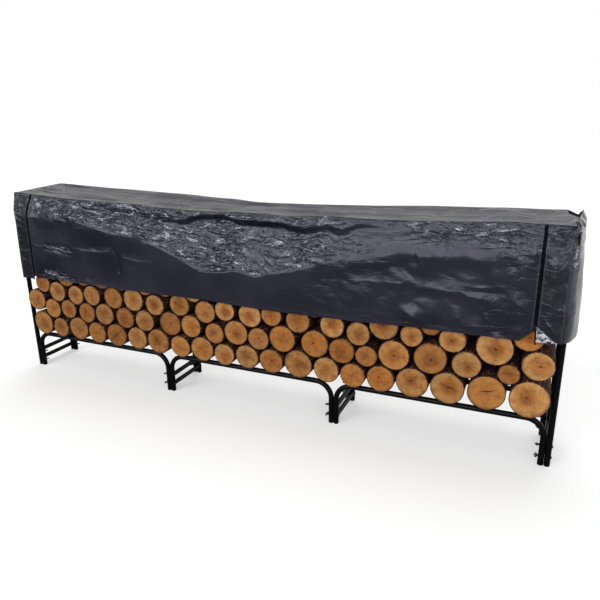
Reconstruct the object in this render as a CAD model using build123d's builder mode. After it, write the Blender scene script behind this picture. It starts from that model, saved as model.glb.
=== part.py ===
from build123d import *

import math
import os
from itertools import chain, cycle

# A covered firewood rack of three bolted bays: bent steel rails on short legs, two tall end frames, a stack of
# round logs, and a tarpaulin cover whose front flap is held by a zip near each end.
#
# Millimetres. X runs along the rack, -Y is the front and +Z is up. The origin is on the floor, under the middle
# of the covered rack.

# ---------------------------------------------------------------- driving dimensions

# Tube frame
BAYS = 3
BAY_PITCH = 1200  # centre to centre of neighbouring feet
TUBE_OD = 32
TUBE_WALL = 1.5
TUBE_GAP = 0.4  # between two tubes bolted side by side
FRAME_DEPTH = 324  # front tube axis to rear tube axis
RAIL_HEIGHT = 264  # axis of the log rails
RAIL_BEND_RADIUS = 100
END_FRAME_HEIGHT = 1305  # top of the tube
END_BEND_RADIUS = 100
CROSSBAR_OD = 30
CROSSBAR_WALL = 1.5
WELD_GAP = 0.15  # between a crossbar's coped end and the leg it is welded to

# Bolts, wing nuts and foot caps
BOLT_HEIGHTS = (52, 118)
BOLT_DIAMETER = 8
BOLT_CLEARANCE = 0.3
BOLT_HEAD_DIAMETER = 18
BOLT_HEAD_HEIGHT = 4.5
BOLT_NECK_LENGTH = 3
BOLT_STICK_OUT = 22  # past the two tubes that it clamps
SEAT_GAP = 0.2  # between a flat head or nut and the round tube under it
NUT_HUB_DIAMETER = 13
NUT_HUB_LENGTH = 9
NUT_WING_SPAN = 34
NUT_WING_RISE = 17
NUT_WING_THICKNESS = 2.6
NUT_THREAD_CLEARANCE = 0.05
NUT_TURNS = (78, 97, 84, 106)  # degrees at which the wings came to a stop
CAP_LIP_HEIGHT = 5
CAP_LIP_INSET = 0.2
CAP_PLUG_DEPTH = 18
CAP_PLUG_CLEARANCE = 0.15

# Logs: each row's diameters from left to right, used over again when a row needs more
LOG_LENGTH = 457
LOG_OVERHANG = 41  # in front of the front tubes' axis
LOG_GAP = 0.4
LOG_END_SPACE = 24  # between the left end frame and the first log
LOG_STAGGER = (0, 3, -2, 4, 1, -4, 2, -1)  # how far each log sits forward of the mean
LOG_ROWS = (
    (185, 150, 174, 161, 172, 170, 180, 158, 174, 152, 166, 167, 186, 166, 156, 168, 187, 192, 207, 214),
    (150, 142, 152, 162, 156, 156, 172, 158, 145, 170, 150, 176, 178, 162, 136, 184, 186, 160, 118, 168),
    (165, 152, 145, 150, 160, 165, 150, 155, 155, 145, 162, 140, 158, 155, 148, 176, 132, 150, 198, 158),
    (140, 165, 150, 172, 148, 158, 170, 145, 160, 152, 168, 142, 156, 174, 150, 162, 118, 150, 166),
)
THIN_LOGS = (118, 100)  # used at the top, where a thicker log would lift the cover

# Cover
COVER_THICKNESS = 3
COVER_GAP = 0.4  # between the cover and the frame that carries it
SEAM_GAP = 0.3  # between cover panels sewn together
COVER_DROP = 600  # top to hem
TOP_SAG = 48
TOP_EDGE_INSET = 12  # the front top edge lies this far behind the front tubes' axis
FOLD_DROP = 118  # from the top down to the line where the front bends over the stack
VALLEY_DEPTH = 265  # how far the stack, and that line with it, dips in the middle
VALLEY_HALF_WIDTH = 720
FOLD_CLEARANCE = 12  # in front of the logs, at the ends
FOLD_BULGE = 22  # more of it in the middle
HEM_CLEARANCE = 23
BACK_CLEARANCE = 24
END_BULGE = 42  # how far each end panel stands out below its middle
CORNER_WRAP = 26  # how far the front corner of an end panel is rounded off
FLAP_SPANS = 12
ZIP_INSET = 155  # from the ends of the frame to the zips
ZIP_GAP = 0.2  # from the middle of a zip to each half
ZIP_TAPE_WIDTH = 5.6
ZIP_TAPE_THICKNESS = 1.2
SLIDER_WIDTH = 11
SLIDER_LENGTH = 15
SLIDER_THICKNESS = 3.4
SLIDER_RISES = {"left": 70, "right": 90}  # above the hem
PULL_WIDTH = 7
PULL_LENGTH = 27
PULL_THICKNESS = 1.2
PULL_GAP = 0.3
BRIDGE_WIDTH = 1.6
BRIDGE_LENGTH = 8

# ---------------------------------------------------------------- places worked out from them

tube_r = TUBE_OD / 2
tube_offset = (TUBE_OD + TUBE_GAP) / 2  # from a station's middle to either of its two tubes
stations = [(i - BAYS / 2) * BAY_PITCH for i in range(BAYS + 1)]
half_length = stations[-1] + tube_offset + tube_r
stack_half = stations[-1] + tube_offset - tube_r
pair_half = tube_offset + tube_r

# Depths, first from the middle plane of the frame, then from the origin
log_front_from_frame = -FRAME_DEPTH / 2 - LOG_OVERHANG
log_back_from_frame = log_front_from_frame + LOG_LENGTH
rear_from_frame = max(log_back_from_frame + max(LOG_STAGGER), FRAME_DEPTH / 2 + tube_r)
cover_back_from_frame = rear_from_frame + BACK_CLEARANCE + COVER_THICKNESS
cover_front_from_frame = log_front_from_frame - FOLD_CLEARANCE - FOLD_BULGE
frame_y = -(cover_back_from_frame + cover_front_from_frame) / 2

front_y = frame_y - FRAME_DEPTH / 2
rear_y = frame_y + FRAME_DEPTH / 2
log_front = frame_y + log_front_from_frame
cover_back = frame_y + cover_back_from_frame
top_edge_y = front_y + TOP_EDGE_INSET
fold_end_y = log_front - FOLD_CLEARANCE
hem_y = log_front - HEM_CLEARANCE

cover_top = END_FRAME_HEIGHT + COVER_GAP + COVER_THICKNESS
cover_half = half_length + COVER_GAP + COVER_THICKNESS
hem_z = cover_top - COVER_DROP
fold_end_z = cover_top - FOLD_DROP
zip_x = half_length - ZIP_INSET

# The bolt heads face the outside of the left end, and the right everywhere else.
head_sides = [-1] + [1] * BAYS
side_names = {-1: "left", 1: "right"}
station_names = ["left_end"] + [f"middle_{i}" for i in range(1, BAYS)] + ["right_end"]
bay_names = [f"bay_{i + 1}" for i in range(BAYS)]

parts = []


def finish(builder, name):
    """Label a finished piece and keep it for export."""
    builder.part.label = name
    parts.append(builder.part)


# ---------------------------------------------------------------- tube frame


def bolt_holes(x, y, head_side=0):
    """Cut a leg's two bolt holes in the part being built, square on the side where a bolt head's neck sits."""
    neck = BOLT_DIAMETER + BOLT_CLEARANCE
    for z in BOLT_HEIGHTS:
        with Locations((x, y, z)):
            Cylinder(BOLT_DIAMETER / 2 + BOLT_CLEARANCE, 2 * TUBE_OD, rotation=(0, 90, 0), mode=Mode.SUBTRACT)
        if head_side:
            with Locations((x + head_side * (tube_r - TUBE_WALL / 2), y, z)):
                Box(2 * TUBE_WALL, neck, neck, mode=Mode.SUBTRACT)


def rail(left, right, y, right_head):
    """A log rail: one tube bent down into a leg at each end."""
    with BuildPart() as tube:
        with BuildLine(Plane.XZ.offset(-y)):
            FilletPolyline(
                (left, CAP_LIP_HEIGHT),
                (left, RAIL_HEIGHT),
                (right, RAIL_HEIGHT),
                (right, CAP_LIP_HEIGHT),
                radius=RAIL_BEND_RADIUS,
            )
        with BuildSketch(Plane((left, y, CAP_LIP_HEIGHT))):
            Circle(tube_r)
            Circle(tube_r - TUBE_WALL, mode=Mode.SUBTRACT)
        sweep()
        bolt_holes(left, y, right_head)
        bolt_holes(right, y)
    return tube


def end_frame(x, head_side):
    """An end frame: front post, rounded top and rear post in one tube."""
    top = END_FRAME_HEIGHT - tube_r
    with BuildPart() as tube:
        with BuildLine(Plane.YZ.offset(x)):
            FilletPolyline(
                (front_y, CAP_LIP_HEIGHT),
                (front_y, top),
                (rear_y, top),
                (rear_y, CAP_LIP_HEIGHT),
                radius=END_BEND_RADIUS,
            )
        with BuildSketch(Plane((x, front_y, CAP_LIP_HEIGHT))):
            Circle(tube_r)
            Circle(tube_r - TUBE_WALL, mode=Mode.SUBTRACT)
        sweep()
        for y in (front_y, rear_y):
            bolt_holes(x, y, head_side)
    return tube


def crossbar(x, z):
    """A crossbar from front leg to rear leg, with both ends coped round the tubes."""
    with BuildPart() as bar:
        with BuildSketch(Plane.XZ.offset(-rear_y)):
            with Locations((x, z)):
                Circle(CROSSBAR_OD / 2)
                Circle(CROSSBAR_OD / 2 - CROSSBAR_WALL, mode=Mode.SUBTRACT)
        extrude(amount=FRAME_DEPTH)
        with Locations((x, front_y, z), (x, rear_y, z)):
            Cylinder(tube_r + WELD_GAP, 2 * CROSSBAR_OD, mode=Mode.SUBTRACT)
    return bar


for bay, name in enumerate(bay_names):
    left_leg = stations[bay] + tube_offset
    right_leg = stations[bay + 1] - tube_offset
    neck_side = head_sides[bay] if head_sides[bay] > 0 else 0
    finish(rail(left_leg, right_leg, front_y, neck_side), f"front_rail_{name}")
    finish(rail(left_leg, right_leg, rear_y, neck_side), f"rear_rail_{name}")

for side, station in ((-1, stations[0]), (1, stations[-1])):
    finish(end_frame(station + side * tube_offset, side), f"end_frame_{side_names[side]}")

# Crossbars join the posts at the ends, and the right-hand pair of legs at the stations between.
crossbar_xs = [stations[0] - tube_offset] + [x + tube_offset for x in stations[1:]]
for x, name in zip(crossbar_xs, station_names):
    for z, level in zip(BOLT_HEIGHTS, ("lower", "upper")):
        finish(crossbar(x, z), f"crossbar_{name}_{level}")

# ---------------------------------------------------------------- bolts, wing nuts and foot caps

bolt_r = BOLT_DIAMETER / 2
hub_r = NUT_HUB_DIAMETER / 2
bolt_length = 2 * pair_half + SEAT_GAP + BOLT_STICK_OUT

# A carriage bolt with its head up: the head's flat underside is at Z 0, over the shank.
with BuildPart() as carriage_bolt:
    with BuildSketch(Plane.XZ):
        with BuildLine():
            ThreePointArc(
                (0, BOLT_HEAD_HEIGHT),
                (BOLT_HEAD_DIAMETER * 0.35, BOLT_HEAD_HEIGHT * 0.62),
                (BOLT_HEAD_DIAMETER / 2, 0),
            )
            Line((BOLT_HEAD_DIAMETER / 2, 0), (0, 0))
            Line((0, 0), (0, BOLT_HEAD_HEIGHT))
        make_face()
    revolve(axis=Axis.Z)
    Box(
        BOLT_DIAMETER,
        BOLT_DIAMETER,
        BOLT_NECK_LENGTH,
        align=(Align.CENTER, Align.CENTER, Align.MAX),
    )
    Cylinder(bolt_r, bolt_length, align=(Align.CENTER, Align.CENTER, Align.MAX))
    chamfer(carriage_bolt.edges().sort_by(Axis.Z)[0], BOLT_DIAMETER / 10)

# A wing nut with its bearing face at Z 0 and its two wings rising away from it.
with BuildPart() as wing_nut:
    Cone(hub_r, hub_r * 0.8, NUT_HUB_LENGTH, align=(Align.CENTER, Align.CENTER, Align.MIN))
    with BuildSketch(Plane.XZ):
        with BuildLine():
            Polyline(
                (hub_r * 0.7, NUT_HUB_LENGTH * 0.25),
                (NUT_WING_SPAN / 2, NUT_HUB_LENGTH * 0.8),
                (NUT_WING_SPAN / 2, NUT_WING_RISE),
                (NUT_WING_SPAN * 0.36, NUT_WING_RISE),
                (hub_r * 0.7, NUT_HUB_LENGTH * 0.95),
                close=True,
            )
        make_face()
        mirror(about=Plane.YZ)
    extrude(amount=NUT_WING_THICKNESS / 2, both=True)
    fillet(wing_nut.edges().filter_by(Axis.Y).group_by(Axis.Z)[-1], NUT_WING_SPAN / 20)
    Cylinder(bolt_r + NUT_THREAD_CLEARANCE, 4 * NUT_WING_RISE, mode=Mode.SUBTRACT)

# A foot cap: a ribless plug inside the tube, on a lip that the tube stands on.
with BuildPart() as foot_cap:
    Cylinder(tube_r - CAP_LIP_INSET, CAP_LIP_HEIGHT, align=(Align.CENTER, Align.CENTER, Align.MIN))
    chamfer(foot_cap.edges().sort_by(Axis.Z)[0], CAP_LIP_HEIGHT / 5)
    Cylinder(
        tube_r - TUBE_WALL - CAP_PLUG_CLEARANCE,
        CAP_LIP_HEIGHT + CAP_PLUG_DEPTH,
        align=(Align.CENTER, Align.CENTER, Align.MIN),
    )

for station, head_side, name in zip(stations, head_sides, station_names):
    seat = pair_half + SEAT_GAP
    joints = [(y, z) for y in (front_y, rear_y) for z in BOLT_HEIGHTS]
    bolt_places = [Location((station + head_side * seat, y, z), (0, head_side * 90, 0)) for y, z in joints]
    nut_places = [
        Location((station - head_side * seat, y, z), (0, -head_side * 90, 0)) * Rotation(0, 0, turn)
        for (y, z), turn in zip(joints, NUT_TURNS)
    ]
    with BuildPart() as bolts:
        with Locations(*bolt_places):
            add(carriage_bolt.part)
    finish(bolts, f"carriage_bolts_{name}")
    with BuildPart() as nuts:
        with Locations(*nut_places):
            add(wing_nut.part)
    finish(nuts, f"wing_nuts_{name}")
    with BuildPart() as caps:
        with Locations(*[(station + s * tube_offset, y, 0) for s in (-1, 1) for y in (front_y, rear_y)]):
            add(foot_cap.part)
    finish(caps, f"foot_caps_{name}")

# ---------------------------------------------------------------- shape of the covered stack


def valley(x):
    """How far the stack has been used up at x, from 0 at the ends to 1 in the middle."""
    return math.exp(-((x / VALLEY_HALF_WIDTH) ** 2))


def fold_z(x):
    """Height of the line where the cover's front bends over the front edge of the stack."""
    return fold_end_z - VALLEY_DEPTH * valley(x)


def fold_y(x):
    """Depth of that line."""
    return fold_end_y - FOLD_BULGE * valley(x)


def top_underside(x):
    """Height of the underside of the top panel, which sags between the end frames."""
    return cover_top - COVER_THICKNESS - TOP_SAG * max(0, 1 - (x / stack_half) ** 2)


# ---------------------------------------------------------------- logs


def touching(a, b, radius):
    """Centre of a log that lies in the notch between logs a and b, or None where it would fall through."""
    reach_a = a[2] + radius + LOG_GAP
    reach_b = b[2] + radius + LOG_GAP
    dx = b[0] - a[0]
    dz = b[1] - a[1]
    distance = math.hypot(dx, dz)
    if distance > reach_a + reach_b:
        return None
    along = (reach_a**2 - reach_b**2 + distance**2) / (2 * distance)
    rise = math.sqrt(max(0, reach_a**2 - along**2))
    x = a[0] + (dx * along - dz * rise) / distance
    z = a[1] + (dz * along + dx * rise) / distance
    return (x, z) if a[0] < x < b[0] else None


def against_end(log, radius, side):
    """Centre of a log that lies between another log and the end frame on that side, or None."""
    x = side * (stack_half - radius - LOG_GAP)
    reach = log[2] + radius + LOG_GAP
    if abs(x - log[0]) >= reach or (x - log[0]) * side < 0:
        return None
    return (x, log[1] + math.sqrt(reach**2 - (x - log[0]) ** 2))


def lowest_rest(radius, stack, start, window):
    """The lowest free place for a log of this radius with start < x <= start + window, below the cover."""
    near = [log for log in stack if start - 4 * radius < log[0] < start + window + 4 * radius]
    places = [touching(a, b, radius) for a in near for b in near if a[0] < b[0]]
    places += [against_end(log, radius, side) for log in near for side in (-1, 1)]
    limit = stack_half - radius - LOG_GAP
    free = [
        (z, x)
        for x, z in filter(None, places)
        if start < x <= start + window
        and abs(x) <= limit + LOG_GAP / 10
        and z + radius < fold_z(x)
        and all(math.hypot(x - c[0], z - c[1]) > c[2] + radius + LOG_GAP * 0.9 for c in near)
    ]
    return min(free) if free else None


def bottom_row(radii):
    """The row on the rails, spread out between the end frames."""
    rest_z = RAIL_HEIGHT + tube_r + LOG_GAP
    room = 2 * stack_half - LOG_END_SPACE - LOG_GAP
    row = []
    width = 0
    for radius in cycle(radii):
        step = 2 * math.sqrt(row[-1] * radius) if row else radius
        if width + step + radius > room:
            break
        width += step
        row.append(radius)
    spare = (room - width - row[-1]) / (len(row) - 1)
    x = -stack_half + LOG_END_SPACE + row[0]
    logs = [(x, rest_z + row[0], row[0])]
    for before, radius in zip(row, row[1:]):
        x += 2 * math.sqrt(before * radius) + spare
        logs.append((x, rest_z + radius, radius))
    return logs


def next_row(radii, stack):
    """A row laid on the stack from left to right, each log in the lowest place beside the last."""
    row = []
    start = -stack_half
    supply = cycle(radii)
    radius = next(supply)
    while start < stack_half:
        for choice in (radius, *(thin / 2 for thin in THIN_LOGS)):
            place = lowest_rest(choice, stack + row, start + radius / 2, 2.7 * radius)
            if place:
                z, start = place
                row.append((start, z, choice))
                radius = next(supply)
                break
        else:
            start += radius / 2
    return row


def stacked_logs():
    """Rows of logs as (x, z, radius), until no more fit under the cover."""
    rows = [bottom_row([d / 2 for d in LOG_ROWS[0]])]
    stack = list(rows[0])
    for diameters in chain(LOG_ROWS[1:], cycle(LOG_ROWS[:0:-1])):
        row = next_row([d / 2 for d in diameters], stack)
        if not row:
            return rows
        rows.append(row)
        stack += row


# The listed rows are a piece each, and the broken rows above them, up to the cover, are one more.
rows = stacked_logs()
layers = {f"log_row_{i + 1}": row for i, row in enumerate(rows[: len(LOG_ROWS)])}
layers["log_rows_above"] = list(chain(*rows[len(LOG_ROWS) :]))

stagger = cycle(LOG_STAGGER)
for name, layer in layers.items():
    with BuildPart() as logs:
        for x, z, radius in layer:
            with BuildSketch(Plane.XZ.offset(next(stagger) - log_front)):
                with Locations((x, z)):
                    Circle(radius)
            extrude(amount=-LOG_LENGTH)
    finish(logs, name)

# ---------------------------------------------------------------- cover


def slab_over(bottom, top, half_width, front):
    """A slab from front to the back of the cover: flat over the end frames, and as slack as the top between."""
    level = top_underside(stack_half)
    with BuildPart() as slab:
        with BuildSketch(Plane.XZ.offset(-cover_back)):
            with BuildLine():
                ThreePointArc(
                    (-stack_half, level + bottom),
                    (0, top_underside(0) + bottom),
                    (stack_half, level + bottom),
                )
                Polyline(
                    (stack_half, level + bottom),
                    (half_width, level + bottom),
                    (half_width, level + top),
                    (stack_half, level + top),
                )
                ThreePointArc(
                    (stack_half, level + top),
                    (0, top_underside(0) + top),
                    (-stack_half, level + top),
                )
                Polyline(
                    (-stack_half, level + top),
                    (-half_width, level + top),
                    (-half_width, level + bottom),
                    (-stack_half, level + bottom),
                )
            make_face()
        extrude(amount=cover_back - front)
    return slab


# The room over the walls of the cover, down to their seam with the top panel.
headroom = slab_over(-SEAM_GAP, TOP_SAG + 2 * COVER_THICKNESS, cover_half + END_BULGE, 2 * hem_y)

finish(slab_over(0, COVER_THICKNESS, cover_half, top_edge_y), "cover_top_panel")

with BuildPart() as back_panel:
    with BuildSketch(Plane.XZ.offset(-cover_back)):
        with BuildLine():
            Polyline(
                (-cover_half, hem_z),
                (cover_half, hem_z),
                (cover_half, cover_top),
                (-cover_half, cover_top),
                close=True,
            )
        make_face()
    extrude(amount=COVER_THICKNESS)
    add(headroom.part, mode=Mode.SUBTRACT)
finish(back_panel, "cover_back_panel")


def end_section(side, z, front, bulge, wrap):
    """Plan of an end panel at height z: the strip from the zip, the rounded front corner and the end wall."""
    mid_y = (front + cover_back) / 2
    inner_back = cover_back - COVER_THICKNESS - SEAM_GAP
    inner_x = cover_half - COVER_THICKNESS
    with BuildSketch(Plane.XY.offset(z)) as section:
        with BuildLine():
            Polyline(
                (side * (zip_x + ZIP_GAP), front),
                (side * (cover_half - wrap), front + wrap / 12),
                (side * (cover_half + bulge / 3), front + wrap),
                (side * (cover_half + bulge), mid_y),
                (side * cover_half, inner_back),
                (side * inner_x, inner_back),
                (side * (inner_x + bulge), mid_y),
                (side * (inner_x + bulge / 3), front + wrap + COVER_THICKNESS / 2),
                (side * (inner_x - wrap), front + wrap / 12 + COVER_THICKNESS),
                (side * (zip_x + ZIP_GAP), front + COVER_THICKNESS),
                close=True,
            )
        make_face()
    return section.sketch


# The front's profile at the zips, from top to hem, shared by the flap, the end panels and the tapes
zip_top = (top_edge_y, top_underside(zip_x))
zip_fold = (fold_y(zip_x), fold_z(zip_x))
zip_hem = (hem_y, hem_z)
slope = (zip_top[0] - zip_fold[0]) / (zip_top[1] - zip_fold[1])
middle = [0.6 * h + 0.4 * f for h, f in zip(zip_hem, zip_fold)]

for side in (-1, 1):
    levels = [
        (cover_top, zip_top[0] + slope * (cover_top - zip_top[1]), END_BULGE / 30, CORNER_WRAP / 3),
        (zip_fold[1], zip_fold[0], END_BULGE / 4, CORNER_WRAP),
        (middle[1], middle[0], END_BULGE, CORNER_WRAP),
        (zip_hem[1], zip_hem[0], END_BULGE / 2, CORNER_WRAP),
    ]
    with BuildPart() as end_panel:
        loft([end_section(side, *level) for level in levels], ruled=True)
        add(headroom.part, mode=Mode.SUBTRACT)
    finish(end_panel, f"cover_end_panel_{side_names[side]}")

with BuildPart() as front_panel:
    for i in range(FLAP_SPANS + 1):
        x = (zip_x - ZIP_GAP) * (2 * i / FLAP_SPANS - 1)
        profile = [
            (top_edge_y, top_underside(x)),
            (fold_y(x), fold_z(x)),
            (hem_y, hem_z),
        ]
        inside = [(y + COVER_THICKNESS, z) for y, z in reversed(profile)]
        with BuildSketch(Plane.YZ.offset(x)):
            with BuildLine():
                Polyline(*profile, *inside, close=True)
            make_face()
    loft(ruled=True)
    add(headroom.part, mode=Mode.SUBTRACT)
finish(front_panel, "cover_front_panel")

# ---------------------------------------------------------------- zips

tape_back = SEAM_GAP
tape_front = SEAM_GAP + ZIP_TAPE_THICKNESS


def zip_tape(start_x, end_x):
    """One half of a zip: a narrow tape down the outside of its panel's edge."""
    front = [(y - tape_front, z) for y, z in (zip_top, zip_fold, zip_hem)]
    back = [(y - tape_back, z) for y, z in (zip_hem, zip_fold, zip_top)]
    with BuildPart() as tape:
        with BuildSketch(Plane.YZ.offset(min(start_x, end_x))):
            with BuildLine():
                Polyline(*front, *back, close=True)
            make_face()
        extrude(amount=abs(end_x - start_x))
    return tape


# The lower run of both zips is straight: it leans out from the fold to the hem.
run_y = zip_fold[0] - zip_hem[0]
run_z = zip_fold[1] - zip_hem[1]
run_length = math.hypot(run_y, run_z)
outward = (0, -run_z / run_length, run_y / run_length)

for side, name in side_names.items():
    inner = side * (zip_x - ZIP_GAP)
    outer = side * (zip_x + ZIP_GAP)
    finish(zip_tape(inner - side * ZIP_TAPE_WIDTH, inner), f"zip_tape_flap_{name}")
    finish(zip_tape(outer, outer + side * ZIP_TAPE_WIDTH), f"zip_tape_end_{name}")

    rise = SLIDER_RISES[name]
    slider_y = hem_y + run_y * rise / run_z - tape_front - SEAM_GAP
    slider_plane = Plane((side * zip_x, slider_y, hem_z + rise), x_dir=(1, 0, 0), z_dir=outward)
    bridge_height = PULL_THICKNESS + 2 * PULL_GAP
    with BuildPart() as slider:
        with BuildSketch(slider_plane):
            RectangleRounded(SLIDER_WIDTH, SLIDER_LENGTH, SLIDER_WIDTH / 4)
        extrude(amount=SLIDER_THICKNESS)
        with BuildSketch(slider_plane.offset(SLIDER_THICKNESS)):
            with Locations((0, BRIDGE_LENGTH / 2 - BRIDGE_WIDTH / 2), (0, BRIDGE_WIDTH / 2 - BRIDGE_LENGTH / 2)):
                Rectangle(BRIDGE_WIDTH, BRIDGE_WIDTH)
        extrude(amount=bridge_height)
        with BuildSketch(slider_plane.offset(SLIDER_THICKNESS + bridge_height)):
            Rectangle(BRIDGE_WIDTH, BRIDGE_LENGTH)
        extrude(amount=BRIDGE_WIDTH)
    finish(slider, f"zip_slider_{name}")

    # The pull hangs on the bridge by a slot and lies flat against the slider.
    slot_length = BRIDGE_LENGTH / 2
    slot_y = BRIDGE_WIDTH / 2 - BRIDGE_LENGTH / 2
    pull_plane = slider_plane.offset(SLIDER_THICKNESS + PULL_GAP)
    with BuildPart() as pull:
        with BuildSketch(pull_plane):
            with Locations((0, slot_y + slot_length - PULL_LENGTH / 2)):
                RectangleRounded(PULL_WIDTH, PULL_LENGTH, PULL_WIDTH / 3)
            with Locations((0, slot_y)):
                Rectangle(BRIDGE_WIDTH + 2 * PULL_GAP, slot_length, mode=Mode.SUBTRACT)
        extrude(amount=PULL_THICKNESS)
    finish(pull, f"zip_pull_{name}")

# ---------------------------------------------------------------- export

os.makedirs("parts", exist_ok=True)
for piece in parts:
    export_step(piece, f"parts/{piece.label}.step")
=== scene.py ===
"""The looks of a covered firewood rack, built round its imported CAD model.

Metres, in the rack's own frame: X along the rack, -Y the front, +Z up, the origin on the floor.
"""

import math
import random
from functools import partial

import bpy
import numpy as np
from mathutils import Matrix, Vector, noise


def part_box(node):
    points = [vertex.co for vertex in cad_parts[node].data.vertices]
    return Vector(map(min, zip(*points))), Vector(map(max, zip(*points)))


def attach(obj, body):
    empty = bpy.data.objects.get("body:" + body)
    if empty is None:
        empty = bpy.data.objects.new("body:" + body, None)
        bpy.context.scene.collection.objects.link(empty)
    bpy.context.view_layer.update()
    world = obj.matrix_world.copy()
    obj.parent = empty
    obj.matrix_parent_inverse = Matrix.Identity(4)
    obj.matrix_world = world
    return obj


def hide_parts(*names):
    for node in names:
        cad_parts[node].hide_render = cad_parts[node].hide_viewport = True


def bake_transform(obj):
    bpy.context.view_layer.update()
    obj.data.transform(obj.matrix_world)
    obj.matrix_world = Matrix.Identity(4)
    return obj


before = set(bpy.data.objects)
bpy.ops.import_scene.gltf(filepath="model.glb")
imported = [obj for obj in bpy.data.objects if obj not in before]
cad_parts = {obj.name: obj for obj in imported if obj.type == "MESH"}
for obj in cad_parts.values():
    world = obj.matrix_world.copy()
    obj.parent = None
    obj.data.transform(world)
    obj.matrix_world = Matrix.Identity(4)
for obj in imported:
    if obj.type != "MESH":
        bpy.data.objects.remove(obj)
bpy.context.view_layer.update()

# ---- sizes ----

top_low, top_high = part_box("cover_top_panel")
flap_low, flap_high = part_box("cover_front_panel")
frame_low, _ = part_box("end_frame_right")

COVER_HALF = top_high.x
COVER_TOP = top_high.z
COVER_BACK = top_high.y
TOP_EDGE_Y = top_low.y
HEM_Z = flap_low.z
ZIP_X = flap_high.x + 0.0002
STACK_HALF = frame_low.x

TOP_SAG = 0.048
FOLD_Z = COVER_TOP - 0.118  # where the front bends over the stack, at the ends
FOLD_Y = flap_low.y + 0.022
HEM_Y = FOLD_Y - 0.011
VALLEY_DEPTH = 0.265
VALLEY_HALF_WIDTH = 0.72
FOLD_BULGE = 0.022

ZIP_TAPE_WIDTH = 0.0080
TOOTH_PITCH = 0.0032
STITCHES_FROM_ZIP = 0.0145
OPEN_ZIP = {-1: 0.070, 1: 0.090}  # height of each slider above the hem
LOOSE_CORNER = (0.130, 0.098)  # width and height of the loose corner beside the right zip
MOST_CRUMPLED = 0.86  # only a few places at the right end are more crumpled, up to 1, where pale crinkles are painted on as highlight
# Where each sheet but the flap starts in the cloth's flat coordinates, so that no two have the same creases.
FLAT_STARTS = {"top": 5.0, "back": 8.0, 1: 12, -1: 15}  # 1 and -1 are the right and left end panels

# ---- shader nodes ----


class Nodes:
    """A shader tree. Each input of a node is a value, or the output of another node."""

    def __init__(self, tree):
        self.tree = tree

    def feed(self, socket, value):
        """Give an input its value or its link."""
        if isinstance(value, bpy.types.NodeSocket):
            self.tree.links.new(value, socket)
        elif socket.type == "RGBA":
            socket.default_value = (*value, 1.0)
        else:
            socket.default_value = value

    def add(self, kind, inputs=None, **settings):
        """Add a node, and return its outputs."""
        made = self.tree.nodes.new(f"ShaderNode{kind}")
        for name, value in settings.items():
            setattr(made, name, value)
        for name, value in (inputs or {}).items():
            self.feed(made.inputs[name], value)
        return made.outputs

    def use(self, group, **inputs):
        """Place a node group, and return its outputs."""
        return self.add("Group", inputs, node_tree=group)

    def maths(self, operation, *values, clamp=False):
        return self.add("Math", dict(enumerate(values)), operation=operation, use_clamp=clamp)[0]

    def times(self, first, second):
        return self.maths("MULTIPLY", first, second)

    def times_plus(self, first, second, third):
        return self.maths("MULTIPLY_ADD", first, second, third)

    def minus(self, first, second):
        return self.maths("SUBTRACT", first, second)

    def larger(self, first, second):
        return self.maths("MAXIMUM", first, second)

    def fraction(self, value, factor):
        """What stands after the point in value times factor."""
        return self.maths("FRACT", self.times(value, factor))

    def vectors(self, operation, *values, output="Vector"):
        return self.add("VectorMath", dict(enumerate(values)), operation=operation)[output]

    def remap(self, value, low, high, to_low=0.0, to_high=1.0, kind="SMOOTHSTEP"):
        """value taken from low..high to to_low..to_high, and held at the ends."""
        inputs = {"Value": value, "From Min": low, "From Max": high, "To Min": to_low, "To Max": to_high}
        return self.add("MapRange", inputs, interpolation_type=kind)["Result"]

    def mix(self, factor, first, second, blend="MIX"):
        """A colour mixed from two."""
        return self.add("Mix", {0: factor, 6: first, 7: second}, data_type="RGBA", blend_type=blend)[2]

    def scaled(self, vector, scale, offset=(0, 0, 0)):
        """A place stretched by a scale for each axis."""
        return self.add("Mapping", {"Vector": vector, "Scale": scale, "Location": offset})["Vector"]

    def turned(self, vector, angle):
        """A place turned about Z."""
        return self.add("VectorRotate", {"Vector": vector, "Angle": angle}, rotation_type="Z_AXIS")[0]

    def noise(self, vector, scale, detail=3.0, roughness=0.5):
        """Smooth noise, around 0.5."""
        inputs = {"Vector": vector, "Scale": scale, "Detail": detail, "Roughness": roughness}
        return self.add("TexNoise", inputs)[0]

    def ridges(self, vector, scale):
        """Noise with sharp ridges."""
        inputs = {"Vector": vector, "Scale": scale, "Detail": 3.0, "Roughness": 0.6, "Offset": 1.0}
        return self.add("TexNoise", inputs, noise_type="RIDGED_MULTIFRACTAL")[0]

    def drifted(self, vector, scale, reach):
        """A place pushed about by noise."""
        drift = self.add("TexNoise", {"Vector": vector, "Scale": scale, "Detail": 3.0})["Color"]
        return self.vectors("MULTIPLY_ADD", drift, reach, vector)

    def cell_edges(self, inputs, **settings):
        """Distance to the nearest edge between cells, which makes sharp straight creases."""
        return self.add("TexVoronoi", inputs, feature="DISTANCE_TO_EDGE", **settings)["Distance"]

    def facets(self, vector, scale, stretch, offset=(0, 0, 0)):
        """Flat facets that each lean their own way: their height, and the distance to the nearest crease."""
        place = self.scaled(vector, (1.0, stretch, 1.0), offset)
        inputs = {"Vector": place, "Scale": scale}
        cell = self.add("TexVoronoi", inputs, voronoi_dimensions="2D")
        edge = self.cell_edges(inputs, voronoi_dimensions="2D")
        lean = self.vectors("SUBTRACT", cell["Color"], (0.5, 0.5, 0.5))
        arm = self.vectors("SUBTRACT", place, cell["Position"])
        height = self.vectors("DOT_PRODUCT", lean, arm, output="Value")
        return self.times(height, self.remap(edge, 0.0, 0.07)), edge


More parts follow.
